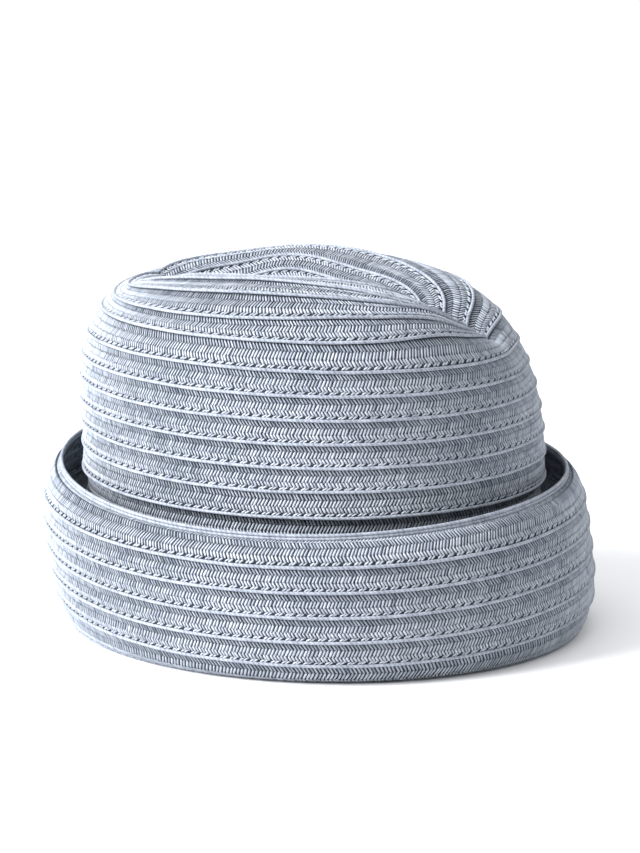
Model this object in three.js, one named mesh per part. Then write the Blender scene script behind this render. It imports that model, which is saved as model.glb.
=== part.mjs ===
import * as THREE from "three";

// Straw hat with a creased crown and a deep turned-up cuff, in millimetres.
// +X is the long way of the head and the way the crease runs, +Z is up, and the hat rests on z = 0.

// Straw walls and how they meet
const wall = 2.0;                // thickness of the lapped straw rows
const seamGap = 0.3;             // air between two pieces that are sewn together
const lap = 4.0;                 // height by which the crown's edge covers the brim's collar

// Crown, measured outside
const crownHalfLength = 100.0;   // widest half size along X
const crownHalfWidth = 89.2;     // widest half size along Y
const crownHeight = 155.6;       // undented top above the table
const shoulderHeight = 62.0;     // where the upright wall starts to round over
const endRoundness = 3.4;        // of the shoulder at both ends: 2 would be an ellipse, more is squarer
const sideRoundness = 3.9;       // of the shoulder at both sides
const footTuck = 2.0;            // how much narrower the crown is at its lower edge
const leanAlong = -2.5;          // shift of the crown's top along X
const leanAcross = -8.5;         // shift of the crown's top along Y
const leanHeight = 72.0;         // height where those shifts begin
const topTwist = -0.0008;        // rise of the top per square millimetre of x times y

// Lengthwise crease in the crown's top, a teardrop that narrows towards +X
const creaseDepth = 24.0;
const creaseHalfWidth = 45.0;    // from the fold line to either ridge, at the middle
const creaseTaper = 0.2;         // narrowing of that half width per millimetre towards +X
const creaseFront = 99.0;        // X where the crease has faded out
const creaseBack = -82.0;        // X where the crease starts
const creaseFade = 35.0;         // length over which it fades at both ends
const creaseOffset = 8.5;        // Y of the fold line before the top leans
const creaseBend = 2.0;          // rounding of the straw along the fold line
const creaseSharpness = 1.5;     // 1 gives flat slopes, more gives rounder ridges
const creaseSkew = 0.4;          // shift of the far slope towards +X, per millimetre across

// Turned-up brim
const endRoom = 17.0;            // from the crown's foot to the cuff's outermost line, along X
const sideRoom = 24.5;           // the same along Y
const cuffHeight = 66.3;         // mean height of the cuff's edge
const collarBend = 3.5;          // radius of the turn from the collar to the foot
const edgeAboveTurn = 0.5;       // from the end of that turn up to the crown's lower edge
const endsUp = 2.0;              // the edge stands higher at both ends and lower at both sides
const edgeTiltX = 3.5;           // it stands higher towards -X
const edgeTiltY = 4.7;           // and lower towards -Y
const waveShare = 0.68;          // share of the cuff's height above which the edge rises and falls
const endLift = 2.5;             // rise of the cuff's lower turn at both ends
const footShift = 6.3;           // shift of the cuff's lower part along X
const edgeShift = 0.3;           // shift of the cuff's edge along X

// Doubled cord on the edge
const cordWidth = 1.25;          // one of the two cords

const around = 60;               // facets round the hat
const wallRows = 3;              // facets up the crown's upright wall
const domeRows = 15;             // facets over the crown's rounded top
const cuffRows = 11;             // facets up the cuff

// Lower edge of the crown above the table
const crownEdgeHeight = wall / 2 + collarBend + edgeAboveTurn;

const clamp01 = (value) => Math.min(1, Math.max(0, value));

function easeIn(value) {
  const t = clamp01(value);
  return t * t * (3 - 2 * t);
}

// Facets between rings of points; every ring has the same number of points.
// The rings close on each other from the last back to the first when closed is true.
function facetsBetween(rings, closed) {
  const facets = [];
  const count = closed ? rings.length : rings.length - 1;
  for (let r = 0; r < count; r += 1) {
    const low = rings[r];
    const high = rings[(r + 1) % rings.length];
    for (let i = 0; i < low.length; i += 1) {
      const j = (i + 1) % low.length;
      facets.push([low[i], low[j], high[j]]);
      facets.push([low[i], high[j], high[i]]);
    }
  }
  return facets;
}

function meshFromFacets(name, facets, colour) {
  const corners = facets.flat().flatMap((point) => [point.x, point.y, point.z]);
  const geometry = new THREE.BufferGeometry();
  geometry.setAttribute("position", new THREE.Float32BufferAttribute(corners, 3));
  geometry.computeVertexNormals();
  const material = new THREE.MeshStandardMaterial({ color: colour, roughness: 0.75, metalness: 0.0 });
  const mesh = new THREE.Mesh(geometry, material);
  mesh.name = name;
  return mesh;
}

// Crown: one face of the wall, inset from the outside by the given thickness.
// level runs from 0 at the lower edge through 1 at the shoulder to 2 at the tip.
function crownPoint(angle, level, inset) {
  const power = 2 / (endRoundness + (sideRoundness - endRoundness) * Math.sin(angle) ** 2);
  const turn = clamp01(level - 1) * Math.PI / 2;
  const spread = level < 2 ? Math.cos(turn) ** power : 0;
  const climb = Math.sin(turn) ** power;
  const upright = crownEdgeHeight + (shoulderHeight - crownEdgeHeight) * Math.min(level, 1);
  const tuck = level < 1 ? footTuck * (1 - upright / shoulderHeight) ** 1.5 : 0;
  const reach = (crownHalfWidth - inset) * spread - tuck;
  const x = (crownHalfLength - crownHalfWidth + reach) * Math.cos(angle);
  const y = reach * Math.sin(angle);
  const height = upright + (crownHeight - inset - shoulderHeight + topTwist * x * y) * climb;
  const z = height - creaseDrop(x, y) * easeIn(2 * climb);
  const lean = easeIn((z - leanHeight) / (crownHeight - leanHeight - crownEdgeHeight));
  return new THREE.Vector3(x + leanAlong * lean, y + leanAcross * lean, z);
}

function creaseDrop(x, y) {
  const place = x - creaseSkew * Math.max(0, y - creaseOffset);
  const along = easeIn((creaseFront - place) / creaseFade) * easeIn((place - creaseBack) / creaseFade);
  const halfWidth = creaseHalfWidth - creaseTaper * Math.max(0, place);
  const side = Math.hypot(y - creaseOffset, creaseBend) - creaseBend;
  return creaseDepth * along * clamp01(1 - side / halfWidth) ** creaseSharpness;
}

// The rings of one face of the crown. The last ring folds flat on the short straight core of the tip,
// so its two halves share their points.
function crownRings(inset) {
  const rings = [];
  for (let row = 0; row <= wallRows + domeRows; row += 1) {
    const level = row <= wallRows ? row / wallRows : 1 + (row - wallRows) / domeRows;
    const ring = [];
    for (let i = 0; i < around; i += 1) {
      const folded = level >= 2 ? Math.min(i, around - i) : i;
      ring.push(crownPoint(2 * Math.PI * folded / around, level, inset));
    }
    rings.push(ring);
  }
  return rings;
}

function makeCrown() {
  const outside = crownRings(0);
  const inside = crownRings(wall);
  const outer = facetsBetween(outside, false);
  const inner = facetsBetween(inside, false).map(([a, b, c]) => [a, c, b]);
  const edge = facetsBetween([inside[0], outside[0]], false);
  return meshFromFacets("crown", [...outer, ...inner, ...edge], 0x9fadc4);
}

// Brim: the middle line of its wall, as places on a section.
// out is a share of the room from the crown's foot to the cuff's outermost line.
// up is a share of the cuff's height.
const cuffPlaces = [
  { out: 0.52, up: 0.0 },
  { out: 0.70, up: 0.028 },
  { out: 0.86, up: 0.115 },
  { out: 0.95, up: 0.23 },
  { out: 0.99, up: 0.36 },
  { out: 1.0, up: 0.5 },
  { out: 0.995, up: 0.66 },
  { out: 0.965, up: 0.79 },
  { out: 0.87, up: 0.91 },
  { out: 0.71, up: 0.985 },
  { out: 0.53, up: 1.0 },
];

// Where the exactly flat foot begins and ends, between the collar's turn and the first place above.
const footShares = [0.25, 0.85];

// The section at one angle, as pairs of distance out of the crown's foot and height.
function brimSection(angle) {
  const room = endRoom * Math.cos(angle) ** 2 + sideRoom * Math.sin(angle) ** 2;
  const collarOut = -wall / 2 - seamGap - wall;
  const line = [new THREE.Vector2(collarOut, crownEdgeHeight + lap)];
  for (const share of [0, 0.5, 1]) {
    const turn = share * Math.PI / 2;
    const out = collarOut + collarBend * (1 - Math.cos(turn));
    line.push(new THREE.Vector2(out, wall / 2 + collarBend * (1 - Math.sin(turn))));
  }
  const footStart = collarOut + collarBend;
  for (const share of footShares) {
    line.push(new THREE.Vector2(footStart + share * (cuffPlaces[0].out * room - footStart), wall / 2));
  }
  const rise = cuffHeight - wall / 2;
  const places = cuffPlaces.map(({ out, up }) => new THREE.Vector2(out * room, wall / 2 + up * rise));
  const curve = new THREE.SplineCurve(places);
  return [...line, ...curve.getPoints(cuffRows)];
}

// A point of the section moved off its middle line by the given distance, to the outside when positive.
function brimPoint(angle, section, index, offset, beyond = 0) {
  const before = section[Math.max(index - 1, 0)];
  const after = section[Math.min(index + 1, section.length - 1)];
  const into = new THREE.Vector2().subVectors(section[index], before);
  const onward = new THREE.Vector2().subVectors(after, section[index]);
  if (index === 0) into.copy(onward);
  if (index === section.length - 1) onward.copy(into);
  const heading = into.normalize().add(onward.normalize()).normalize();
  const out = section[index].x + offset * heading.y + beyond * heading.x;
  const up = section[index].y - offset * heading.x + beyond * heading.y;
  const share = up / cuffHeight;
  const shift = (footShift + (edgeShift - footShift) * easeIn(share)) * easeIn(1.4 * out / endRoom);
  const wave = endsUp * Math.cos(2 * angle) - edgeTiltX * Math.cos(angle) + edgeTiltY * Math.sin(angle);
  const lift = endLift * Math.cos(angle) ** 2 * (easeIn(6 * share) - easeIn(1.5 * share));
  const height = up + lift + wave * easeIn((share - waveShare) / (1 - waveShare));
  const footLength = crownHalfLength - footTuck + out;
  const footWidth = crownHalfWidth - footTuck + out;
  return new THREE.Vector3(footLength * Math.cos(angle) + shift, footWidth * Math.sin(angle), height);
}

const angles = Array.from({ length: around }, (_, i) => 2 * Math.PI * i / around);
const sections = angles.map(brimSection);

function brimRing(index, offset, beyond = 0) {
  return angles.map((angle, i) => brimPoint(angle, sections[i], index, offset, beyond));
}

function makeBrim() {
  const last = sections[0].length - 1;
  const rings = [];
  for (let index = 0; index <= last; index += 1) rings.push(brimRing(index, wall / 2));
  for (let index = last; index >= 0; index -= 1) rings.push(brimRing(index, -wall / 2));
  return meshFromFacets("brim", facetsBetween(rings, true), 0x9aa8c0);
}

// Rim binding: two fine cords side by side across the edge of the brim, one closed ring.
function makeRimBinding() {
  const last = sections[0].length - 1;
  const radius = cordWidth / 2;
  const middle = seamGap + radius;
  const outline = [
    { across: 2 * radius, along: 0 },
    { across: 1.6 * radius, along: radius },
    { across: 0.6 * radius, along: radius },
    { across: 0, along: 0.6 * radius },
    { across: -0.6 * radius, along: radius },
    { across: -1.6 * radius, along: radius },
    { across: -2 * radius, along: 0 },
    { across: -1.5 * radius, along: -radius },
    { across: 1.5 * radius, along: -radius },
  ];
  const rings = outline.map(({ across, along }) => brimRing(last, across, middle + along));
  return meshFromFacets("rim_binding", facetsBetween(rings, true), 0xb4bfd2);
}

const hat = new THREE.Group();
hat.name = "straw_hat";
hat.add(makeCrown(), makeBrim(), makeRimBinding());

// The whole hat is moved along X so that its overall box stands centred on the origin.
const overall = new THREE.Box3().setFromObject(hat);
for (const piece of hat.children) {
  piece.geometry.translate(-(overall.min.x + overall.max.x) / 2, 0, 0);
}

export default hat;
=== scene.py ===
import math

import bpy
import numpy as np
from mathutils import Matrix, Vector


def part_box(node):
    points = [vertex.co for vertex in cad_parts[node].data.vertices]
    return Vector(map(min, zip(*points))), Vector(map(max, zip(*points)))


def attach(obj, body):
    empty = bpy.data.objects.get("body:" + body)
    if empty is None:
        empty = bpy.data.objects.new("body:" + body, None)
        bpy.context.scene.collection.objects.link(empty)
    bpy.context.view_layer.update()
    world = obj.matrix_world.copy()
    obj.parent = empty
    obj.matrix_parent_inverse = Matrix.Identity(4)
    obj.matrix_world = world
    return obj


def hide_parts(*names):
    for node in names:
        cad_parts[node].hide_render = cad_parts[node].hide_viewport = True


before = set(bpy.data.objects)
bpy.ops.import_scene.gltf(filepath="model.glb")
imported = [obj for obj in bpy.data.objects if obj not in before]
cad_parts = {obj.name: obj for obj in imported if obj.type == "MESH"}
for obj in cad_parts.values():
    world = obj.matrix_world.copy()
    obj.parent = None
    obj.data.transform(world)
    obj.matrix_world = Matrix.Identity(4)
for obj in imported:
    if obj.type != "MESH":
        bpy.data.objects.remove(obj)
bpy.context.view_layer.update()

# The crown's wall.
# The real crown is one long plaited straw braid, sewn round and round over itself from the tip down.
# This section gives the wall that the rows lie on: an oval pot with a rounded top and a lengthwise crease.
crown_half_length = 100.0        # millimetres, as every length below
crown_half_width = 89.2
crown_height = 155.6             # undented top above the table
shoulder_height = 62.0
crown_edge_height = 5.0
end_roundness = 3.4
side_roundness = 3.9
foot_tuck = 2.0
lean_along = -2.5
lean_across = -8.5
lean_height = 72.0
top_twist = -0.0008
crease_depth = 24.0
crease_half_width = 45.0
crease_taper = 0.2
crease_front = 99.0
crease_back = -82.0
crease_fade = 35.0
crease_offset = 8.5
crease_bend = 2.0
crease_sharpness = 1.5
crease_skew = 0.4                # of the far side towards +X, per millimetre across
straw_wall = 2.0                 # thickness of the lapped rows
row_inset = 0.9                  # from the outline, which the rows' beads reach, in to the wall under them
millimetre = 0.001
full_turn = 2 * math.pi

# The hat stands centred on the origin, which moves everything along X by this much.
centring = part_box("crown")[1].x / millimetre - crown_half_length


def ease(value):
    """0 below 0, 1 above 1, and 3 t squared minus 2 t cubed between them."""
    t = np.clip(value, 0.0, 1.0)
    return t * t * (3 - 2 * t)


def crease_drop(x, y):
    """How far the crease lies below the undented top: its depth, times an ease at both ends, times a
    share that falls from 1 at the fold line to 0 at the ridges as a power of the distance to the fold.
    On the far side the crease is moved along X in proportion to the distance across."""
    x = x - crease_skew * np.maximum(0, y - crease_offset)
    along = ease((crease_front - x) / crease_fade) * ease((x - crease_back) / crease_fade)
    half_width = crease_half_width - crease_taper * np.maximum(0, x)
    side = np.hypot(y - crease_offset, crease_bend) - crease_bend
    return crease_depth * along * np.clip(1 - side / half_width, 0, 1) ** crease_sharpness


def crown_wall(angle, level):
    """The crown's outside. Level is 0 at the lower edge, 1 at the shoulder and 2 at the tip.
    Above the shoulder the reach is a power of the cosine and the climb the same power of the sine of a
    quarter turn, which gives a squarish dome. The crease is taken off, and the top leans a little."""
    power = 2 / (end_roundness + (side_roundness - end_roundness) * np.sin(angle) ** 2)
    turn = np.clip(level - 1, 0, 1) * math.pi / 2
    spread = np.abs(np.cos(turn)) ** power * (level < 2)
    climb = np.abs(np.sin(turn)) ** power
    upright = crown_edge_height + (shoulder_height - crown_edge_height) * np.minimum(level, 1)
    tuck = foot_tuck * np.clip(1 - upright / shoulder_height, 0, 1) ** 1.5
    reach = crown_half_width * spread - tuck
    x = (crown_half_length - crown_half_width + reach) * np.cos(angle)
    y = reach * np.sin(angle)
    height = upright + (crown_height - shoulder_height + top_twist * x * y) * climb
    z = height - crease_drop(x, y) * ease(2 * climb)
    lean = ease((z - lean_height) / (crown_height - lean_height - crown_edge_height))
    return np.stack([x + lean_along * lean + centring, y + lean_across * lean, z], axis=-1)


def unit(vectors):
    """Vectors of length 1 along the given ones, or of no length where those have none."""
    return vectors / np.maximum(np.linalg.norm(vectors, axis=-1, keepdims=True), 1e-9)


def outward_normals(points, sense):
    """Unit normals of a grid of points, from the differences round it and along it. Sense is 1 or -1."""
    round_it = np.roll(points, -1, axis=0) - np.roll(points, 1, axis=0)
    along_it = np.gradient(points, axis=1)
    return unit(np.cross(round_it, along_it) * sense)


wall_count = 1440                # columns round a measured wall
wall_step = 0.5                  # between its points along a column


def measured_wall(points, normals):
    """The same wall at even distances along each of its columns, so that rows can be laid out by length.
    Distance is the sum of the straight steps from the column's first point. Beyond a column's end the
    last point repeats. Returns places and normals side by side, and each column's length."""
    pieces = np.linalg.norm(np.diff(points, axis=1), axis=2)
    distance = np.concatenate([np.zeros((len(points), 1)), np.cumsum(pieces, axis=1)], axis=1)
    length = distance[:, -1]
    # The columns lie far apart on one number line, so that one interpolation serves them all.
    apart = 10 * length.max()
    start = np.arange(len(points))[:, None] * apart
    wanted = np.arange(0, length.max() + wall_step, wall_step)[None, :]
    wanted = np.minimum(wanted, length[:, None]) + start
    known = (distance + start).ravel()
    values = np.concatenate([points, normals], axis=2)
    channels = [np.interp(wanted.ravel(), known, values[..., c].ravel()) for c in range(6)]
    table = np.stack(channels, axis=-1).reshape(wanted.shape + (6,))
    return table, length


def on_wall(wall, angle, distance, lift):
    """A point of a measured wall: looked up between its four neighbours, then moved along the normal."""
    table, _ = wall
    across = np.mod(angle, full_turn) / full_turn * table.shape[0]
    # Just short of the last point, so that each has a next one.
    along = np.clip(distance / wall_step, 0, table.shape[1] - 1.001)
    i = np.floor(across).astype(int)
    j = np.floor(along).astype(int)
    s = (across - i)[..., None]
    t = (along - j)[..., None]
    i0 = i % table.shape[0]
    i1 = (i + 1) % table.shape[0]
    low = table[i0, j] * (1 - s) + table[i1, j] * s
    high = table[i0, j + 1] * (1 - s) + table[i1, j + 1] * s
    value = low * (1 - t) + high * t
    return value[..., :3] + unit(value[..., 3:]) * np.asarray(lift)[..., None]


def wall_length(wall, angle):
    """The whole distance along a measured wall at each angle."""
    return np.interp(np.mod(angle, full_turn), wall_columns, wall[1], period=full_turn)


upright_levels = 60              # up to the shoulder
dome_levels = 900                # above it, closer together towards the tip
wall_columns = np.arange(wall_count) * full_turn / wall_count
dome_steps = 2 - np.linspace(1, 0, dome_levels) ** 2
crown_levels = np.concatenate([np.linspace(0, 1, upright_levels)[:-1], dome_steps])
crown_points = crown_wall(wall_columns[:, None], crown_levels[None, :])
crown_normals = outward_normals(crown_points, 1)
# The columns meet at the tip, so the last normals repeat the one before them.
crown_normals[:, -3:] = crown_normals[:, -4:-3]
crown_outside = measured_wall(crown_points - row_inset * crown_normals, crown_normals)

# The crown's rows.
# A braid is about 10 mm wide and laps over the next one below, so each row ends below in a raised bead.
# Row 0 lies just above the cuff's edge. Numbers rise to the tip, and are negative down in the trough.
row_pitch = 10.2
rows_below = 6                   # rows from row 0 down to the lower edge
pitch_below = 10.8               # of those rows
even_rows = 5                    # rows above row 0 that keep an even distance
even_pitch = 9.55                # of those rows, at both ends
even_pitch_more = 0.5            # by which it is larger at both sides
first_row_mean = 70.9            # distance up the wall of row 0
first_row_wave = 0.6             # by which it is higher at both ends and lower at both sides
first_row_tilt = 0.3             # by which it is lower towards +X


def first_row_height(angle):
    """Distance up the wall of row 0: a mean height with a slow wave round the hat."""
    return first_row_mean + first_row_wave * np.cos(2 * angle) - first_row_tilt * np.cos(angle)


# Rows above the even ones, as distances above row 0 at ten places round the crown.
# The places are degrees from +X, counted towards +Y. The rows crowd together where the crease ends.
row_places = (-150, -115, -85, -45, -22, -8, 24, 45, 85, 130)
upper_rows = {
    #           back   side   side   front  crease end    front  front  side   back
    "sixth":   (60.7,  61.4,  61.9,  61.5,  62.0,  59.4,  60.4,  61.5,  62.5,  61.0),
    "seventh": (68.0,  70.0,  71.4,  72.9,  70.0,  63.2,  72.4,  77.0,  78.5,  72.0),
    "eighth":  (75.2,  83.3,  87.9,  83.7,  75.6,  67.0,  83.3,  93.0,  96.0,  84.0),
    "ninth":   (81.0,  95.5,  103.0, 92.7,  77.0,  71.5,  93.0,  104.0, 111.4, 98.0),
}


def round_the_crown(values, angle):
    """A smooth closed curve through one value at each place: cubic between neighbours, with the slope at
    each place taken from the places on both sides."""
    places = np.radians(np.array(row_places, float))
    count = len(places)
    spots = np.concatenate([places - full_turn, places, places + full_turn])
    heights = np.tile(np.array(values, float), 3)
    slopes = np.gradient(heights, spots)
    turned = np.mod(angle - places[0], full_turn) + places[0]
    k = np.clip(np.searchsorted(spots, turned, side="right") - 1, count, 2 * count)
    gap = spots[k + 1] - spots[k]
    t = (turned - spots[k]) / gap
    start = (2 * t**3 - 3 * t**2 + 1) * heights[k] + (t**3 - 2 * t**2 + t) * gap * slopes[k]
    end = (3 * t**2 - 2 * t**3) * heights[k + 1] + (t**3 - t**2) * gap * slopes[k + 1]
    return start + end


last_table_row = even_rows + len(upper_rows)
tip_rows = 4                     # rows inside the ninth
last_share = 0.45                # of a row's width, from the last row to the tip


def crown_row(number, angle):
    """Distance up the wall of a row's bead. Rows below row 0 keep a pitch, with the wave fading out
    towards the lower edge. Rows above it keep a pitch, then follow the table, then share the rest."""
    first = first_row_height(angle)
    if number < 0:
        mean = first_row_mean + number * pitch_below
        return mean + (first - first_row_mean) * max(mean, 0) / first_row_mean
    if number <= even_rows:
        return first + number * (even_pitch + even_pitch_more * np.sin(angle) ** 2)
    if number <= last_table_row:
        return first + round_the_crown(list(upper_rows.values())[number - even_rows - 1], angle)
    last = first + round_the_crown(upper_rows["ninth"], angle)
    share = (number - last_table_row) / (tip_rows + last_share)
    return last + (wall_length(crown_outside, angle) - last) * share


overhanging_row = -1
trough_set_back = 1.8            # of the rows down in the trough, behind the row that overhangs them
set_back_start = 12.0            # distance up the wall where it begins
set_back_fade = 25.0             # distance over which it grows to the full


def set_back(number, distance):
    """How far a row's wall is set back, as a lift below 0: in full below the overhanging row, and none at
    the crown's lower edge, where the wall meets the brim's collar again."""
    lower = number < overhanging_row
    return -trough_set_back * ease((distance - set_back_start) / set_back_fade) * lower


def mesh_object(name, points, faces):
    """A smooth mesh object at the origin from an array of points in millimetres and an array of faces."""
    mesh = bpy.data.meshes.new(name)
    sides = faces.shape[1]
    mesh.vertices.add(len(points))
    mesh.vertices.foreach_set("co", (points * millimetre).astype(np.float32).ravel())
    mesh.loops.add(faces.size)
    mesh.loops.foreach_set("vertex_index", faces.astype(np.int32).ravel())
    mesh.polygons.add(len(faces))
    mesh.polygons.foreach_set("loop_start", np.arange(0, faces.size, sides, dtype=np.int32))
    mesh.polygons.foreach_set("use_smooth", np.full(len(faces), True))
    mesh.update(calc_edges=True)
    made = bpy.data.objects.new(name, mesh)
    bpy.context.scene.collection.objects.link(made)
    return made


def corner_map(made, name, corners):
    """A UV map from one pair of numbers for each corner of each face."""
    layer = made.data.uv_layers.new(name=name)
    layer.data.foreach_set("uv", corners.astype(np.float32).ravel())


def belongs(made, node, slot, *materials):
    """Gives a finished piece its materials and its body, and hides the solid that it stands for. Slot is not
    used.
    """
    for material in materials:
        made.data.materials.append(material)
    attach(made, "root")
    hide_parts(node)


# Dyed paper straw.
# The strands are flat twisted paper straw, dyed a pale slate blue. It is matt with a soft gloss along
# each strand, and takes the dye unevenly, so neighbours differ from pale grey-blue to slate.
def linear_colour(hex_colour):
    """An sRGB hex colour as linear red, green, blue and 1."""
    parts = [int(hex_colour[k:k + 2], 16) / 255 for k in (0, 2, 4)]
    linear = [p / 12.92 if p <= 0.04045 else ((p + 0.055) / 1.055) ** 2.4 for p in parts]
    return (*linear, 1.0)


def add_node(owner, kind, settings=None, **links):
    """Adds a node to a material or world, sets its attributes and inputs, and links its inputs. In a
    link's name an underscore stands for a space, and a number after two underscores is a place."""
    tree = owner.node_tree
    node = tree.nodes.new(kind)
    for key, value in (settings or {}).items():
        if isinstance(key, str) and hasattr(node, key):
            setattr(node, key, value)
        else:
            node.inputs[key].default_value = value
    for key, source in links.items():
        slot = int(key[2:]) if key.startswith("__") else key.replace("_", " ")
        tree.links.new(source, node.inputs[slot])
    return node


def new_material(name, roughness, specular):
    """A node material with its output, and a Principled shader of a roughness and a specular level."""
    material = bpy.data.materials.new(name)
    material.use_nodes = True
    material.node_tree.nodes.clear()
    shader = add_node(material, "ShaderNodeBsdfPrincipled",
                      {"Roughness": roughness, "Specular IOR Level": specular})
    add_node(material, "ShaderNodeOutputMaterial", Surface=shader.outputs["BSDF"])
    return material, shader


def finish_straw(material, shader, tone, colours, height, strength, depth):
    """The end of each straw material: its colour from a ramp of places and hex colours, read at the tone,
    and bump from the height, with its depth in millimetres."""
    ramp = add_node(material, "ShaderNodeValToRGB", Fac=tone)
    while len(ramp.color_ramp.elements) < len(colours):
        ramp.color_ramp.elements.new(0.5)
    for element, (place, colour) in zip(ramp.color_ramp.elements, colours):
        element.position = place
        element.color = linear_colour(colour)
    bump = add_node(material, "ShaderNodeBump", {"Strength": strength, "Distance": depth * millimetre},
                    Height=height)
    material.node_tree.links.new(ramp.outputs["Color"], shader.inputs["Base Color"])
    material.node_tree.links.new(bump.outputs["Normal"], shader.inputs["Normal"])


def per_metre(size):
    """The scale of a pattern whose features have a size in millimetres: how many fit in a metre."""
    return 1 / (size * millimetre)


straw_colours = [(0.0, "505A68"), (0.28, "858E9B"), (0.52, "A1A8B3"), (0.78, "B4BAC4"), (1.0, "C4C9D1")]
patch_size = 36.0                # of the slow patches of dye
patch_strength = 0.5             # by which they shift the tone
grain_size = 0.455               # of the fibres in a strand
grain_strength = 0.3


def dyed_straw():
    """Each strand has its own tone from 0 to 1. Slow patches of dye shift it, and fine grain roughens it."""
    material, shader = new_material("dyed_paper_straw", roughness=0.72, specular=0.12)
    tone = add_node(material, "ShaderNodeAttribute", {"attribute_name": "tone"})
    place = add_node(material, "ShaderNodeTexCoord")
    patches = add_node(material, "ShaderNodeTexNoise", {"Scale": per_metre(patch_size), "Detail": 2.0},
                       Vector=place.outputs["Object"])
    grain = add_node(material, "ShaderNodeTexNoise", {"Scale": per_metre(grain_size), "Detail": 2.0},
                     Vector=place.outputs["Object"])
    shifted = add_node(material, "ShaderNodeMath",
                       {"operation": "MULTIPLY_ADD", 1: patch_strength, 2: -patch_strength / 2},
                       __0=patches.outputs["Fac"])
    sum_of = add_node(material, "ShaderNodeMath", {"operation": "ADD"},
                      __0=tone.outputs["Fac"], __1=shifted.outputs[0])
    grained = add_node(material, "ShaderNodeMath",
                       {"operation": "MULTIPLY_ADD", 1: grain_strength, 2: -grain_strength / 2},
                       __0=grain.outputs["Fac"])
    final = add_node(material, "ShaderNodeMath", {"operation": "ADD"},
                     __0=sum_of.outputs[0], __1=grained.outputs[0])
    finish_straw(material, shader, final.outputs[0], straw_colours, grain.outputs["Fac"],
                 strength=0.35, depth=0.2)
    return material


straw = dyed_straw()
dye = np.random.default_rng(41)

# The visible strands of a row.
# In each row the plait shows four zones, from its bead upwards: short flat strands with stitch holes,
# short ones leaning left, long ones leaning right, and long ones leaning left under the row above.
strand_pitch = 1.45              # along the row
bead_radius = 0.72
bead_lift = 0.5                  # middle of the bead above the wall
lap_slope = 0.07                 # how fast a row sinks towards its upper edge
strand_lift = 0.3                # of a strand's underside above the wall, at the bead
stitch_every = 3                 # strands from one stitch hole to the next
fewest_stitches = 4              # in a row
least_stretch = 0.8              # of the zones, where rows crowd together
most_stretch = 1.7               # of the zones, where rows stand wide apart
scatter = 0.07                   # of a strand's place and ends, and of its lean as a share
width_scatter = 0.08             # as a share
rise_scatter = 0.12              # as a share
tone_scatter = 0.1
pale_share = 0.14                # of the strands, which are paler
pale_tone = 0.1                  # by which they are
least_tone = 0.05
# Painted shade: the zones' mean tones fall from the bead towards the row's upper edge, for the shade under
# the row above.
zones = (
    # low end, high end, lean to the right going up, width, mean tone, and whether it has stitch holes
    {"low": 0.6, "high": 2.0, "lean": 2.6, "width": 0.8, "tone": 0.66, "holes": True},
    {"low": 1.5, "high": 4.3, "lean": -1.4, "width": 1.08, "tone": 0.62, "holes": False},
    {"low": 3.5, "high": 7.3, "lean": 2.0, "width": 1.0, "tone": 0.56, "holes": False},
    {"low": 6.4, "high": 10.0, "lean": -2.1, "width": 0.86, "tone": 0.46, "holes": False},
)


def row_layout(wall, bead):
    """Length along a row's bead against angle, so that strands can be laid out at an even pitch.
    Bead is a function from angle to distance. Returns the lengths, the angles and the whole length."""
    angle = np.linspace(0, full_turn, wall_count + 1)
    line = on_wall(wall, angle, bead(angle), 0.0)
    length = np.concatenate([[0], np.cumsum(np.linalg.norm(np.diff(line, axis=0), axis=1))])
    return length, angle, length[-1]


def row_spot(wall, bead, spacing, sense, turning, layout, along, above, lift, number):
    """A point of a row: along its bead in millimetres, above the bead towards the row's upper edge, and
    lifted off the wall. Above is stretched or squeezed as the rows stand wider apart or closer."""
    length, angle, whole = layout
    turned = np.interp(np.mod(turning * along, whole), length, angle)
    stretch = np.clip(spacing(turned) / row_pitch, least_stretch, most_stretch)
    distance = bead(turned) + sense * above * stretch
    return on_wall(wall, turned, distance, lift + set_back(number, bead(turned)))


# A strand is a flat spindle: a tip, a triangle of three points, another triangle, and a tip.
spindle_along = np.array([0.0, 0.26, 0.26, 0.26, 0.74, 0.74, 0.74, 1.0])
spindle_across = np.array([0.0, -0.5, 0.0, 0.5, -0.5, 0.0, 0.5, 0.0])
spindle_rise = np.array([0.1, 0.0, 0.4, 0.0, 0.0, 0.4, 0.0, 0.1])
spindle_points = len(spindle_along)
spindle_faces = np.array([
    (0, 2, 1), (0, 3, 2), (0, 1, 3),
    (1, 5, 4), (1, 2, 5), (2, 6, 5), (2, 3, 6), (3, 4, 6), (3, 1, 4),
    (7, 4, 5), (7, 5, 6), (7, 6, 4),
])
# The same faces unrolled inside a unit square, three strips wide, for the bake map.
spindle_unrolled = np.array([
    (0.16, 0), (0.33, 0.3), (0, 0.3), (0.5, 0), (0.66, 0.3), (0.34, 0.3), (0.83, 0), (1, 0.3), (0.67, 0.3),
    (0, 0.3), (0.33, 0.7), (0, 0.7), (0, 0.3), (0.33, 0.3), (0.33, 0.7),
    (0.34, 0.3), (0.66, 0.7), (0.34, 0.7), (0.34, 0.3), (0.66, 0.3), (0.66, 0.7),
    (0.67, 0.3), (1, 0.7), (0.67, 0.7), (0.67, 0.3), (1, 0.3), (1, 0.7),
    (0.16, 1), (0, 0.7), (0.33, 0.7), (0.5, 1), (0.34, 0.7), (0.66, 0.7), (0.83, 1), (0.67, 0.7), (1, 0.7),
])


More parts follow.
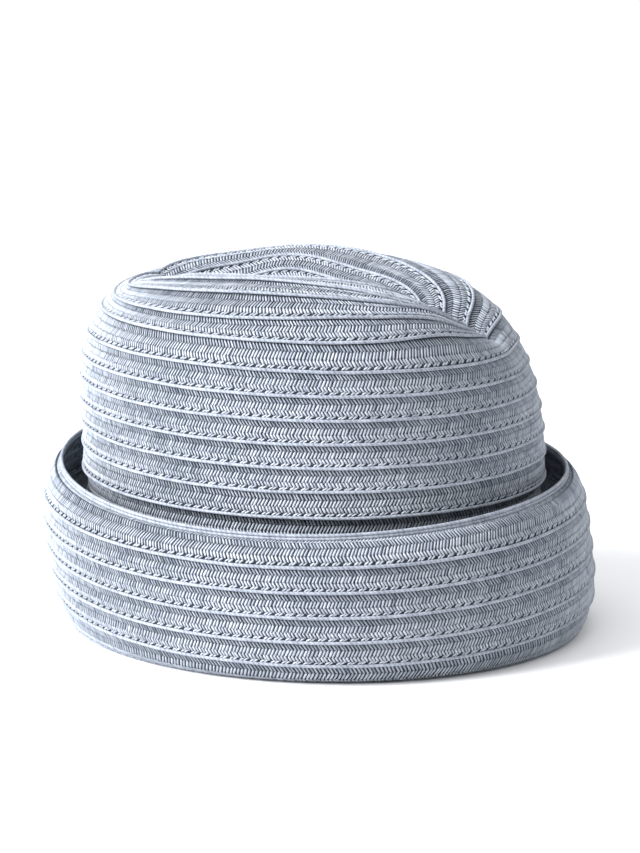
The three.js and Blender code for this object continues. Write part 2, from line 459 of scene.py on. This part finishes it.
def row_strands(wall, bead, spacing, sense, turning=1, number=0):
    """Points and tones of all the strands of one row. Each strand runs from its zone's low end to its high
    end and leans by the zone's lean. Sense is -1 where the wall is measured downwards, and turning is -1
    on a wall seen from the inside, so that the strands face the eye there too. Number is the crown's row,
    which tells how far it is set back."""
    layout = row_layout(wall, bead)
    count = stitch_every * max(fewest_stitches, round(layout[2] / strand_pitch / stitch_every))
    pitch = layout[2] / count
    points = []
    tones = []
    for zone in zones:
        index = np.arange(count)
        if zone["holes"]:
            index = index[index % stitch_every != 0]
        size = len(index)
        start = index * pitch + dye.normal(0, scatter, size) + dye.uniform(0, pitch)
        lean = zone["lean"] * dye.normal(1, scatter, size)
        low = zone["low"] + dye.normal(0, scatter, size)
        high = zone["high"] + dye.normal(0, scatter, size)
        width = zone["width"] * dye.normal(1, width_scatter, size)
        rise = dye.normal(1, rise_scatter, size)
        long = np.hypot(lean, high - low)
        over = spindle_across[None, :] * width[:, None]
        above = low[:, None] + (high - low)[:, None] * spindle_along - over * (lean / long)[:, None]
        along = start[:, None] + (spindle_along - 0.5) * lean[:, None] + over * ((high - low) / long)[:, None]
        lift = strand_lift - lap_slope * above + spindle_rise * rise[:, None]
        points.append(row_spot(wall, bead, spacing, sense, turning, layout, along, above, lift, number))
        # Each strand's tone scatters at random about its zone's mean, which carries the painted shade.
        tone = dye.normal(zone["tone"], tone_scatter, size)
        tone = np.clip(tone + pale_tone * (dye.random(size) > 1 - pale_share), least_tone, 1)
        tones.append(np.repeat(tone[:, None], spindle_points, axis=1))
    return np.concatenate(points), np.concatenate(tones)


square_margin = 0.06             # of a strand's square in the bake map


def strands_object(name, rows):
    """Joins the strands of several rows into one mesh of spindles, with each strand's tone at its points
    and a small square of the bake map for each strand."""
    points = np.concatenate([row[0] for row in rows])
    tones = np.concatenate([row[1] for row in rows])
    count = len(points)
    first_points = spindle_points * np.arange(count)[:, None, None]
    faces = (spindle_faces[None, :, :] + first_points).reshape(-1, 3)
    made = mesh_object(name, points.reshape(-1, 3), faces)
    layer = made.data.attributes.new("tone", "FLOAT", "POINT")
    layer.data.foreach_set("value", tones.astype(np.float32).ravel())
    cells = math.ceil(math.sqrt(count))
    corner = np.stack([np.arange(count) % cells, np.arange(count) // cells], axis=-1)
    inner = square_margin + (1 - 2 * square_margin) * spindle_unrolled
    corner_map(made, "OFBake", (corner[:, None, :] + inner[None, :, :]).reshape(-1, 2) / cells)
    return made


def crown_bead(number):
    """The function from angle to distance of one crown row's bead."""
    return lambda angle: crown_row(number, angle)


def crown_spacing(number):
    """The function from angle to the distance between one crown row and the next above it."""
    return lambda angle: crown_row(number + 1, angle) - crown_row(number, angle)


top_row = last_table_row + tip_rows
lowest_strands = -3              # the lowest row in sight, down in the trough
crown_groups = {"crown_strands_wall": range(lowest_strands, 3), "crown_strands_shoulder": range(3, 8),
                "crown_strands_top": range(8, top_row + 1)}
for name, numbers in crown_groups.items():
    rows = [row_strands(crown_outside, crown_bead(n), crown_spacing(n), 1, number=n) for n in numbers]
    belongs(strands_object(name, rows), "crown", "crown_straw", straw)

# The cords at the lower edge of each row.
# Each row of braid ends below in a raised bead of straw twisted into a cord, which takes the stitches.
cord_sides = 6
cord_twist = 2.1                 # length of one twist along the cord
cord_step = 2.0                  # between a cord's rings of points
fewest_rings = 24
bead_wander = 0.12               # of a bead up and down its row
wander_waves = (7, 11, 17)       # round the hat
cord_colours = [(0.0, "383E49"), (0.35, "717884"), (0.6, "959CA8"), (1.0, "B9BEC8")]
cord_patch_size = 3.85           # of lighter and darker straw along the cord
cord_patch_strength = 0.7
# Painted shade: the tone falls into the grooves between the turns of the twist, with the bump.
groove_shade_strength = 0.5              # by which the tone rises across each turn of the twist
turn_base = 0.12


def twisted_cord():
    """Paper straw twisted into a cord: slanting turns, raised by bump and painted darker into the grooves
    between them as painted shade.
    """
    material, shader = new_material("twisted_straw_cord", roughness=0.6, specular=0.25)
    uv = add_node(material, "ShaderNodeUVMap", {"uv_map": "cord"})
    split = add_node(material, "ShaderNodeSeparateXYZ", Vector=uv.outputs["UV"])
    turns = add_node(material, "ShaderNodeMath", {"operation": "ADD"},
                     __0=split.outputs["X"], __1=split.outputs["Y"])
    wave = add_node(material, "ShaderNodeMath", {"operation": "PINGPONG", 1: 0.5}, __0=turns.outputs[0])
    place = add_node(material, "ShaderNodeTexCoord")
    uneven = add_node(material, "ShaderNodeTexNoise", {"Scale": per_metre(cord_patch_size), "Detail": 3.0},
                      Vector=place.outputs["Object"])
    mixed = add_node(material, "ShaderNodeMath",
                     {"operation": "MULTIPLY_ADD", 1: groove_shade_strength, 2: turn_base}, __0=wave.outputs[0])
    final = add_node(material, "ShaderNodeMath", {"operation": "MULTIPLY_ADD", 1: cord_patch_strength},
                     __0=uneven.outputs["Fac"], __2=mixed.outputs[0])
    finish_straw(material, shader, final.outputs[0], cord_colours, wave.outputs[0],
                 strength=0.6, depth=0.3)
    return material


cord_straw = twisted_cord()


def cord_ring(wall, bead, radius, lift, sense, number=0):
    """A round cord along a row: a circle of points carried along the bead, closed on itself. Its height
    wanders slowly by a small amount. Sense is 1 where a step along the wall goes up and is seen from
    outside, or goes down and is seen from inside, which keeps the faces outward."""
    layout = row_layout(wall, bead)
    rings = max(fewest_rings, int(layout[2] / cord_step))
    along = np.arange(rings) * layout[2] / rings
    phases = dye.uniform(0, full_turn, len(wander_waves))
    waves = [np.sin(full_turn * along / layout[2] * k + p) for k, p in zip(wander_waves, phases)]
    slow = sum(waves) / len(wander_waves)
    around = np.arange(cord_sides) * full_turn / cord_sides
    above = bead_wander * slow[:, None] - sense * radius * np.cos(around)[None, :]
    turned = np.interp(np.mod(along, layout[2]), layout[0], layout[1])[:, None] + 0 * above
    raised = lift + radius * np.sin(around)[None, :] + set_back(number, bead(turned))
    points = on_wall(wall, turned, bead(turned) + above, raised)
    return points, layout[2]


strip_margin = 0.05              # of a cord's strip in the bake map


def cords_object(name, rings):
    """Joins several closed cords into one mesh, with one strip of the bake map for each cord."""
    points = []
    faces = []
    twist = []
    bake = []
    base = 0
    for order, (ring, length) in enumerate(rings):
        count = len(ring)
        i, k = np.meshgrid(np.arange(count), np.arange(cord_sides), indexing="ij")
        i2 = (i + 1) % count
        k2 = (k + 1) % cord_sides
        quad = np.stack([i * cord_sides + k, i2 * cord_sides + k, i2 * cord_sides + k2,
                         i * cord_sides + k2], axis=-1)
        left = np.stack([i, i + 1, i + 1, i], axis=-1) / count
        low = np.stack([k, k, k + 1, k + 1], axis=-1) / cord_sides
        points.append(ring.reshape(-1, 3))
        faces.append(quad.reshape(-1, 4) + base)
        turns = round(length / cord_twist)
        twist.append(np.stack([left * turns, low], axis=-1).reshape(-1, 2))
        strip = (order + strip_margin + (1 - 2 * strip_margin) * low) / len(rings)
        bake.append(np.stack([left, strip], axis=-1).reshape(-1, 2))
        base += count * cord_sides
    made = mesh_object(name, np.concatenate(points), np.concatenate(faces))
    corner_map(made, "cord", np.concatenate(twist))
    corner_map(made, "OFBake", np.concatenate(bake))
    return made


crown_rows = range(-rows_below, top_row + 1)
crown_cords = [cord_ring(crown_outside, crown_bead(n), bead_radius, bead_lift, 1, n) for n in crown_rows]
belongs(cords_object("crown_row_cords", crown_cords), "crown", "crown_straw", cord_straw)

# The body of the crown.
# Behind the outer strands lies the rest of the lapped braid. Its outside is a dark copy of the plait with
# the shade of the strands painted into it, and inside the same plait shows with flatter rows, painted pale as
# lit.
zigzag_lean = 1.2                # of the stripes across one zone, in strands
# Painted shade: the weight of the darker gaps between the stripes' strands, against the uneven dye.
gap_shade_strength = 1.1            # against the uneven dye
tone_gain = 0.9
tone_base = -0.15
braid_patch_size = 2.38          # of the uneven dye


def woven_material(name, colours, depth):
    """The plait seen flat: stripes that lean the other way in each zone of a row. U counts strands along
    the row and V counts rows. Stripes are a pointed wave of U plus a zigzag of V. Each stripe is raised by
    bump and painted darker towards its edges, as painted shade in the gaps between strands."""
    material, shader = new_material(name, roughness=0.6, specular=0.3)
    uv = add_node(material, "ShaderNodeUVMap", {"uv_map": "braid"})
    split = add_node(material, "ShaderNodeSeparateXYZ", Vector=uv.outputs["UV"])
    zone = add_node(material, "ShaderNodeMath", {"operation": "MULTIPLY", 1: float(len(zones))},
                    __0=split.outputs["Y"])
    zigzag = add_node(material, "ShaderNodeMath", {"operation": "PINGPONG", 1: 1.0}, __0=zone.outputs[0])
    leaned = add_node(material, "ShaderNodeMath", {"operation": "MULTIPLY_ADD", 1: zigzag_lean},
                      __0=zigzag.outputs[0], __2=split.outputs["X"])
    stripe = add_node(material, "ShaderNodeMath", {"operation": "PINGPONG", 1: 0.5}, __0=leaned.outputs[0])
    place = add_node(material, "ShaderNodeTexCoord")
    uneven = add_node(material, "ShaderNodeTexNoise", {"Scale": per_metre(braid_patch_size), "Detail": 3.0},
                      Vector=place.outputs["Object"])
    # Painted shade: the stripe darkens the colour towards each strand's edges.
    both = add_node(material, "ShaderNodeMath", {"operation": "MULTIPLY_ADD", 1: gap_shade_strength},
                    __0=stripe.outputs[0], __2=uneven.outputs["Fac"])
    scaled = add_node(material, "ShaderNodeMath", {"operation": "MULTIPLY_ADD", 1: tone_gain, 2: tone_base},
                      __0=both.outputs[0])
    finish_straw(material, shader, scaled.outputs[0], colours, stripe.outputs[0],
                 strength=0.8, depth=depth)
    return material


# Painted shade: this copy of the plait is painted dark for the shade behind the strands.
painted_shade_braid = woven_material("painted_shade_braid", [(0.0, "1E2229"), (0.5, "363C45"), (1.0, "5A606B")], 0.4)
# Painted light: this copy of the plait is painted paler than the strands for the light inside the hat and
# down in the trough.
painted_lit_braid = woven_material("painted_lit_braid", [(0.0, "727984"), (0.5, "B4BAC4"), (1.0, "E0E4EA")], 0.6)
crown_strands_round = 410        # in the plait seen flat
body_columns = 300
body_lift = 0.1                  # of a row's lower edge off the wall
body_inset = 1.5                 # of the inside behind the wall


def body_object(name, rings, strands_round, row_numbers, painted_lit_rings):
    """A closed shell from rings of points. The rings marked in the mask take the second material, the plait
    painted pale as lit, and the rest take the first, painted dark as shade. The braid map counts strands
    round each ring and takes its rows from row_numbers."""
    points = np.stack(rings)
    count, columns = points.shape[:2]
    r, c = np.meshgrid(np.arange(count), np.arange(columns), indexing="ij")
    r2 = (r + 1) % count
    c2 = (c + 1) % columns
    quads = np.stack([r * columns + c, r * columns + c2, r2 * columns + c2, r2 * columns + c], axis=-1)
    made = mesh_object(name, points.reshape(-1, 3), quads.reshape(-1, 4))
    across = np.stack([c, c + 1, c + 1, c], axis=-1) / columns
    number = np.array(row_numbers, float)
    high = np.where(r == count - 1, number[r], number[r2])
    rise = np.stack([number[r], number[r], high, high], axis=-1)
    corner_map(made, "braid", np.stack([across * strands_round, rise], axis=-1).reshape(-1, 2))
    up = np.stack([r, r, r + 1, r + 1], axis=-1) / count
    corner_map(made, "OFBake", np.stack([across, up], axis=-1).reshape(-1, 2))
    # Painted light and shade: the marked rings' faces take the pale plait, the others the dark one.
    light = np.array(painted_lit_rings)[r]
    made.data.polygons.foreach_set("material_index", light.astype(np.int32).ravel())
    return made


body_angles = np.arange(body_columns) * full_turn / body_columns
body_tip = wall_length(crown_outside, body_angles)
row_shares = (0.0, 0.33, 0.66, 0.99)
outer_rings = [on_wall(crown_outside, body_angles, 0 * body_angles, body_lift)]
row_numbers = [-rows_below - 1.0]
for number in crown_rows:
    lower = crown_row(number, body_angles)
    upper = crown_row(number + 1, body_angles) if number < top_row else body_tip
    for share in row_shares:
        lift = body_lift - lap_slope * row_pitch * share + set_back(number, lower)
        outer_rings.append(on_wall(crown_outside, body_angles, lower + (upper - lower) * share, lift))
        row_numbers.append(number + share)
# The crown's two sides meet at the tip along a short line, whose points are the same on both.
folded = np.minimum(body_angles, full_turn - body_angles)
core_depth = row_inset + lap_slope * row_pitch - body_lift
core_top = crown_wall(folded, np.full_like(folded, 2.0)) - np.array([0, 0, core_depth])
core_inside = core_top - np.array([0, 0, row_inset + body_inset - core_depth])
outer_rings.append(core_top)
row_numbers.append(top_row + 1.0)
inner_rings = [core_inside]
inner_numbers = [top_row + 1.0]
crown_inner_rings = 70
for share in np.linspace(1, 0, crown_inner_rings)[1:]:
    distance = body_tip * share
    in_trough = np.where(distance < crown_row(overhanging_row, body_angles), overhanging_row - 1, 0)
    lift = set_back(in_trough, distance) - body_inset
    inner_rings.append(on_wall(crown_outside, body_angles, distance, lift))
    inner_numbers.append(-rows_below - 1.0 + share * (top_row + rows_below + 2))
# The outside takes the plait painted dark as shade, but the rings down in the trough below the lowest strands
# and the whole inside take the one painted pale as lit.
painted_lit_rings = [number < lowest_strands for number in row_numbers] + [True] * len(inner_rings)
body = body_object("crown_body", outer_rings + inner_rings, crown_strands_round,
                   row_numbers + inner_numbers, painted_lit_rings)
belongs(body, "crown", "crown_straw", painted_shade_braid, painted_lit_braid)

# The turned-up brim.
# The brim is the same braid sewn on below the crown. It runs out as a flat foot, then up into a deep cuff
# that bulges and curls in towards the crown at its edge. Its rows lap downwards on the outside.
end_room = 17.0                  # from the crown's foot to the cuff's outermost line, along X
side_room = 24.5                 # the same along Y
cuff_height = 66.3               # mean height of the cuff's edge
collar_bend = 3.5                # radius of the turn from the foot to the collar
ends_up = 2.0                    # the edge stands higher at both ends and lower at both sides
edge_tilt_x = 3.5                # it stands higher towards -X
edge_tilt_y = 4.7                # and lower towards -Y
wave_share = 0.68                # of the cuff's height, above which the edge rises and falls
end_lift = 2.5                   # of the cuff's lower turn at both ends
lift_growth = 6.0                # that lift has risen at a sixth of the cuff's height
lift_fade = 1.5                  # and gone at two thirds of it
foot_shift = 6.3                 # of the cuff's lower part along X
edge_shift = 0.3                 # of its edge
shift_growth = 1.4               # that shift is full from 1 / 1.4 of the end room outwards
seam_gap = 0.3                   # between the collar and the crown
collar_lap = 4.0                 # height of the collar inside the crown
# Points along the section: down the cuff, across the foot, round the bend and up the collar.
cuff_points = 160
foot_points = 12
bend_points = 9
collar_points = 6
# The middle of the cuff's wall: share of the room outwards, and share of the cuff's height.
cuff_places = np.array([
    (0.52, 0.0), (0.70, 0.028), (0.86, 0.115), (0.95, 0.23), (0.99, 0.36), (1.0, 0.5),
    (0.995, 0.66), (0.965, 0.79), (0.87, 0.91), (0.71, 0.985), (0.53, 1.0),
])


def smooth_line(places, count):
    """An even Catmull-Rom curve through the places. The slope at a place is half the step between its
    neighbours, and the first and last places stand in for what is beyond them."""
    spread = np.linspace(0, len(places) - 1, count)
    i = np.minimum(np.floor(spread).astype(int), len(places) - 2)
    w = (spread - i)[:, None]
    before = places[np.maximum(i - 1, 0)]
    here = places[i]
    after = places[i + 1]
    beyond = places[np.minimum(i + 2, len(places) - 1)]
    leave = (after - before) / 2
    arrive = (beyond - here) / 2
    cubic = (2 * here - 2 * after + leave + arrive) * w**3
    square = (3 * after - 3 * here - 2 * leave - arrive) * w**2
    return cubic + square + leave * w + here


def brim_section(angle):
    """The middle line of the wall for each angle, from the rim down the cuff, over the foot and up the
    collar, as distances out of the crown's foot and heights."""
    room = end_room * np.cos(angle) ** 2 + side_room * np.sin(angle) ** 2
    line = smooth_line(cuff_places, cuff_points)[::-1]
    out = line[None, :, 0] * room[:, None]
    up = straw_wall / 2 + line[None, :, 1] * (cuff_height - straw_wall / 2) + 0 * out
    collar_out = -straw_wall / 2 - seam_gap - straw_wall
    foot_start = collar_out + collar_bend
    share = np.linspace(1, 0, foot_points)[None, 1:]
    foot_out = foot_start + share * (cuff_places[0, 0] * room[:, None] - foot_start)
    foot_up = straw_wall / 2 + 0 * foot_out
    turn = np.linspace(math.pi / 2, 0, bend_points)[None, 1:] + 0 * room[:, None]
    bend_out = collar_out + collar_bend * (1 - np.cos(turn))
    bend_up = straw_wall / 2 + collar_bend * (1 - np.sin(turn))
    top_up = np.linspace(0, 1, collar_points)[None, 1:] * (crown_edge_height + collar_lap - bend_up[:, -1:])
    top_up = bend_up[:, -1:] + top_up
    top_out = collar_out + 0 * top_up
    return (np.concatenate([out, foot_out, bend_out, top_out], axis=1),
            np.concatenate([up, foot_up, bend_up, top_up], axis=1))


def round_the_brim(turn, out, up):
    """Carries the section round the oval of the crown's foot. Its lower part is moved along X, the cuff's
    lower turn is lifted at both ends by the square of the cosine, and its edge waves up and down."""
    share = up / cuff_height
    shift = (foot_shift + (edge_shift - foot_shift) * ease(share)) * ease(shift_growth * out / end_room)
    wave = ends_up * np.cos(2 * turn) - edge_tilt_x * np.cos(turn) + edge_tilt_y * np.sin(turn)
    lift = end_lift * np.cos(turn) ** 2 * (ease(lift_growth * share) - ease(lift_fade * share))
    height = up + lift + wave * ease((share - wave_share) / (1 - wave_share))
    x = (crown_half_length - foot_tuck + out) * np.cos(turn) + shift + centring
    y = (crown_half_width - foot_tuck + out) * np.sin(turn)
    return np.stack([x, y, height], axis=-1)


def brim_wall(angle, offset):
    """The brim's wall off its middle line by an offset, positive towards the outside and the table."""
    out, up = brim_section(angle)
    head_out = -np.gradient(out, axis=1)
    head_up = -np.gradient(up, axis=1)
    long = np.hypot(head_out, head_up)
    out = out + offset * head_up / long
    up = up - offset * head_out / long
    return round_the_brim(angle[:, None], out, up)


brim_out_points = brim_wall(wall_columns, straw_wall / 2)
brim_in_points = brim_wall(wall_columns, -straw_wall / 2)
brim_out_normals = outward_normals(brim_out_points, -1)
brim_outside = measured_wall(brim_out_points - row_inset * brim_out_normals, brim_out_normals)
brim_inside = measured_wall(brim_in_points, outward_normals(brim_in_points, 1))

# The cuff's rows, by the distance of each bead down from the rim, on the outside.
cuff_pitch = 10.2
first_cuff_row = 15.7            # of its bead
cuff_rows = 8
rows_in_sight = 5                # above the row that turns under the hat
turned_under = 3.0               # by which that row is wider
row_stretch = {1: 1.2, 6: 1.3}   # of the strands, in the row up to the rim and in the one that turns under


def cuff_bead(number):
    """The function from angle to distance of one cuff row's bead, counted down from the rim. The row that
    turns under the hat is wider, so its bead is out of sight."""
    further = turned_under * (number > rows_in_sight)
    return lambda angle: first_cuff_row + (number - 1) * cuff_pitch + further + 0 * angle


def cuff_spacing(number):
    """The function from angle to the distance between rows of the cuff, which stretches the strands."""
    return lambda angle: row_stretch.get(number, 1.0) * cuff_pitch + 0 * angle


row_clearance = 0.05             # of strands and beads above the table
body_clearance = 0.02            # of the body behind them


def flattened(points, clearance):
    """Points raised to a clearance above the table where they would lie lower."""
    return np.maximum(points, [-np.inf, -np.inf, clearance])


cuff_groups = {"cuff_strands_upper": range(1, 5), "cuff_strands_lower": range(5, cuff_rows + 1)}
for name, numbers in cuff_groups.items():
    rows = [row_strands(brim_outside, cuff_bead(n), cuff_spacing(n), -1) for n in numbers]
    rows = [(flattened(points, row_clearance), tones) for points, tones in rows]
    belongs(strands_object(name, rows), "brim", "brim_straw", straw)

inner_rows = (1, 2)              # rows in sight inside the cuff, counted down from the rim
inner_bead_radius = 0.7
inner_bead_lift = 0.3


def inner_bead(number):
    """The function from angle to distance of one row's bead inside the cuff."""
    return lambda angle: number * cuff_pitch + 0 * angle


inside_rows = [row_strands(brim_inside, inner_bead(n), inner_bead(1), -1, -1) for n in inner_rows]
belongs(strands_object("cuff_strands_inside", inside_rows), "brim", "brim_straw", straw)

cuff_cords = []
for number in range(1, cuff_rows + 1):
    points, length = cord_ring(brim_outside, cuff_bead(number), bead_radius, bead_lift, -1)
    cuff_cords.append((flattened(points, row_clearance), length))
for number in inner_rows:
    cuff_cords.append(cord_ring(brim_inside, inner_bead(number), inner_bead_radius, inner_bead_lift, 1))
belongs(cords_object("cuff_row_cords", cuff_cords), "brim", "brim_straw", cord_straw)

brim_strands_round = 470         # in the plait seen flat
brim_inner_rings = 60
brim_inner_rows = 12             # of that plait, from the rim to the collar
brim_inner_lift = -0.1           # of the inside behind its rows
brim_row_shares = (0.01, 0.34, 0.67, 1.0)
outer_end = wall_length(brim_outside, body_angles)
inner_end = wall_length(brim_inside, body_angles)
outer_rings = []
row_numbers = []
for number in range(1, cuff_rows + 2):
    upper = cuff_bead(number - 1)(body_angles) if number > 1 else 0 * body_angles
    lower = cuff_bead(number)(body_angles) if number <= cuff_rows else outer_end
    for share in brim_row_shares:
        distance = upper + (lower - upper) * share
        lift = body_lift - lap_slope * cuff_pitch * (1 - share)
        outer_rings.append(flattened(on_wall(brim_outside, body_angles, distance, lift), body_clearance))
        row_numbers.append(number - 1 + share)
inner_rings = []
inner_numbers = []
for share in np.linspace(1, 0, brim_inner_rings):
    inner_rings.append(on_wall(brim_inside, body_angles, inner_end * share, brim_inner_lift))
    inner_numbers.append(brim_inner_rows * share)
# The cuff's outside takes the plait painted dark as shade, and its inside the one painted pale as lit.
painted_lit_rings = [False] * len(outer_rings) + [True] * len(inner_rings)
body = body_object("brim_body", outer_rings[::-1] + inner_rings[::-1], brim_strands_round,
                   row_numbers[::-1] + inner_numbers[::-1], painted_lit_rings)
belongs(body, "brim", "brim_straw", painted_shade_braid, painted_lit_braid)

# The binding of the rim.
# Two fine twisted straw cords lie side by side along the brim's edge and finish the last row of braid.
rim_cord_radius = 0.75
# Each cord's middle line: past the wall's edge, below 0 where it is short of it, and across to its outside.
rim_places = ((-0.8, 1.15), (-1.2, -0.2))
rim_steps = 420                  # round the rim
edge_points = 3                  # of the section, over which the wall's direction at its edge is taken
rim_angles = np.arange(rim_steps) * full_turn / rim_steps


def rim_line(beyond, across):
    """A closed line at the brim's edge, moved on by a distance in the direction in which the wall ends,
    and across the wall by another, positive to the outside."""
    out, up = brim_section(rim_angles)
    head_out = out[:, 0] - out[:, edge_points]
    head_up = up[:, 0] - up[:, edge_points]
    long = np.hypot(head_out, head_up)
    out = out[:, 0] + across * head_up / long + beyond * head_out / long
    up = up[:, 0] - across * head_out / long + beyond * head_up / long
    return round_the_brim(rim_angles, out, up)


def cord_on_line(line, radius):
    """A round cord along a closed line: a circle in the plane of the outward direction and up."""
    ahead = unit(np.roll(line, -1, axis=0) - np.roll(line, 1, axis=0))
    side = unit(np.cross(ahead, np.array([0.0, 0.0, 1.0])))
    rise = np.cross(side, ahead)
    around = np.arange(cord_sides) * full_turn / cord_sides
    ring = line[:, None, :] + radius * (np.cos(around)[None, :, None] * side[:, None, :]
                                        + np.sin(around)[None, :, None] * rise[:, None, :])
    length = np.linalg.norm(np.roll(line, -1, axis=0) - line, axis=1).sum()
    return ring, length


rim_cords = [cord_on_line(rim_line(*place), rim_cord_radius) for place in rim_places]
belongs(cords_object("rim_binding_cords", rim_cords), "rim_binding", "rim_cord", cord_straw)

# The floor and the studio.
# A plain pale floor and soft light: one broad lamp to the camera's left, and a bright surround like that
# of a white room, which is brightest overhead.
floor_half = 6.0                 # metres, as every length from here on
floor_mesh = bpy.data.meshes.new("floor")
floor_mesh.from_pydata([(-floor_half, -floor_half, 0), (floor_half, -floor_half, 0),
                        (floor_half, floor_half, 0), (-floor_half, floor_half, 0)], [], [(0, 1, 2, 3)])
floor = bpy.data.objects.new("floor", floor_mesh)
bpy.context.scene.collection.objects.link(floor)
floor_paint, floor_shader = new_material("floor_paint", roughness=0.9, specular=0.5)
floor_shader.inputs["Base Color"].default_value = linear_colour("F7F8FA")
floor_mesh.materials.append(floor_paint)

# The surround's strength at the horizon and overhead, and the power of the height between them.
horizon_strength = 0.28
overhead_strength = 1.75
height_power = 2.0
scene = bpy.context.scene
world = bpy.data.worlds.new("studio")
world.use_nodes = True
surround = world.node_tree.nodes["Background"]
surround.inputs["Color"].default_value = linear_colour("FFFFFF")
direction = add_node(world, "ShaderNodeTexCoord")
height = add_node(world, "ShaderNodeSeparateXYZ", Vector=direction.outputs["Generated"])
power = add_node(world, "ShaderNodeMath", {"operation": "POWER", 1: height_power}, __0=height.outputs["Z"])
overhead = add_node(world, "ShaderNodeMapRange",
                    {"To Min": horizon_strength, "To Max": overhead_strength}, Value=power.outputs[0])
world.node_tree.links.new(overhead.outputs["Result"], surround.inputs["Strength"])
scene.world = world
scene.view_settings.view_transform = "Standard"

camera_azimuth = math.radians(28.0)
camera_elevation = math.radians(12.4)
camera_distance = 1.888
pixel = 0.0004215                # of the picture, at the hat
picture_height = 853             # in pixels
view_right = 7.0                 # pixels by which the view is shifted to the right
view_up = 12.4                   # and up
sensor = 36.0                    # millimetres, as the lens
back = Vector((math.sin(camera_azimuth) * math.cos(camera_elevation),
               -math.cos(camera_azimuth) * math.cos(camera_elevation), math.sin(camera_elevation)))
aim = Vector((centring * millimetre, 0.0, 0.0775))
right = Vector((math.cos(camera_azimuth), math.sin(camera_azimuth), 0.0))

# The lamp's place from the hat: to the camera's left, towards the camera, and up.
lamp_left = 1.78
lamp_near = 0.72
lamp_up = 0.95
lamp_size = 1.2
lamp_power = 113.0               # watts
light = bpy.data.lights.new("key", "AREA")
light.size = lamp_size
light.energy = lamp_power
lamp = bpy.data.objects.new("key", light)
lamp.location = aim - right * lamp_left + back * lamp_near + Vector((0, 0, lamp_up))
lamp.rotation_mode = "QUATERNION"
lamp.rotation_quaternion = (lamp.location - aim).to_track_quat("Z", "Y")
scene.collection.objects.link(lamp)

camera_data = bpy.data.cameras.new("camera")
camera_data.lens = sensor * (camera_distance / pixel) / picture_height
camera_data.sensor_width = sensor
camera_data.shift_x = view_right / picture_height
camera_data.shift_y = view_up / picture_height
camera_data.clip_end = 50.0
camera = bpy.data.objects.new("camera", camera_data)
camera.location = aim + back * camera_distance
camera.rotation_mode = "QUATERNION"
camera.rotation_quaternion = back.to_track_quat("Z", "Y")
scene.collection.objects.link(camera)
scene.camera = camera
